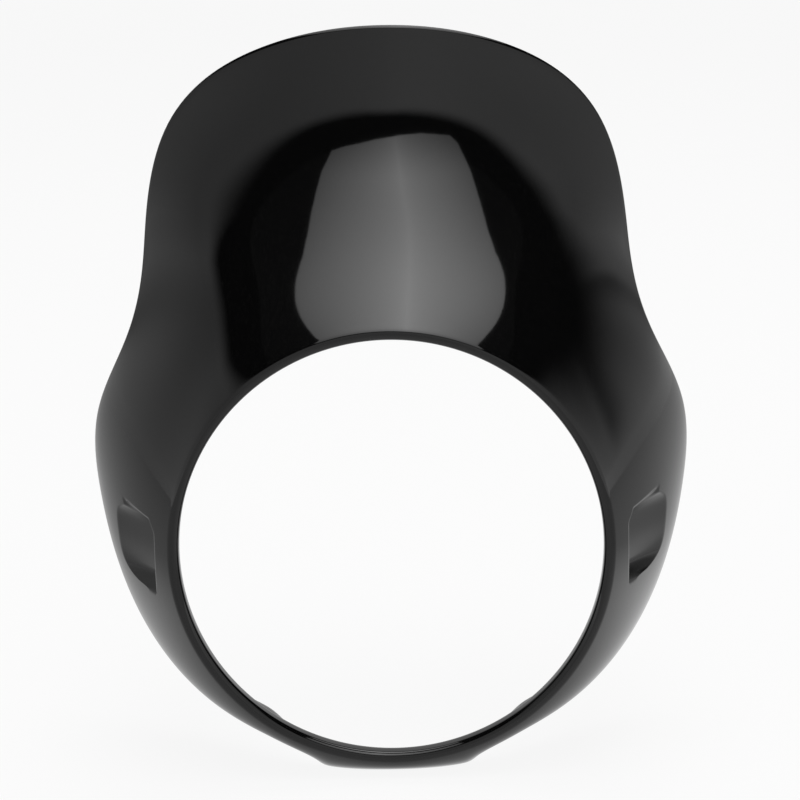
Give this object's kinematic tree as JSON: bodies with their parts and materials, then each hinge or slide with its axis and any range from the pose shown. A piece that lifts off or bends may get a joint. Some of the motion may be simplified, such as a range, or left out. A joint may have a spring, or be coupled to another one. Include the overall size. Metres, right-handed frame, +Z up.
{
  "type": "headlight cowl",
  "caption": "Gloss black moulded motorbike headlight cowl: a tall flared visor over a round lamp opening, curved side walls with scooped recesses and a flat chin.",
  "frame": {"origin": "centre of the round lamp opening, on its axis, where the rolled lip meets the straight bore", "axes": "the front faces -Y along the lamp opening's axis, +Z is up towards the visor, +X is to the right seen from the front"},
  "size_m": [0.2392, 0.1085, 0.2777],
  "materials": {
    "shell": "polished gloss black"
  },
  "bodies": {
    "root": {"cowl": "shell"}
  },
  "joints": []
}
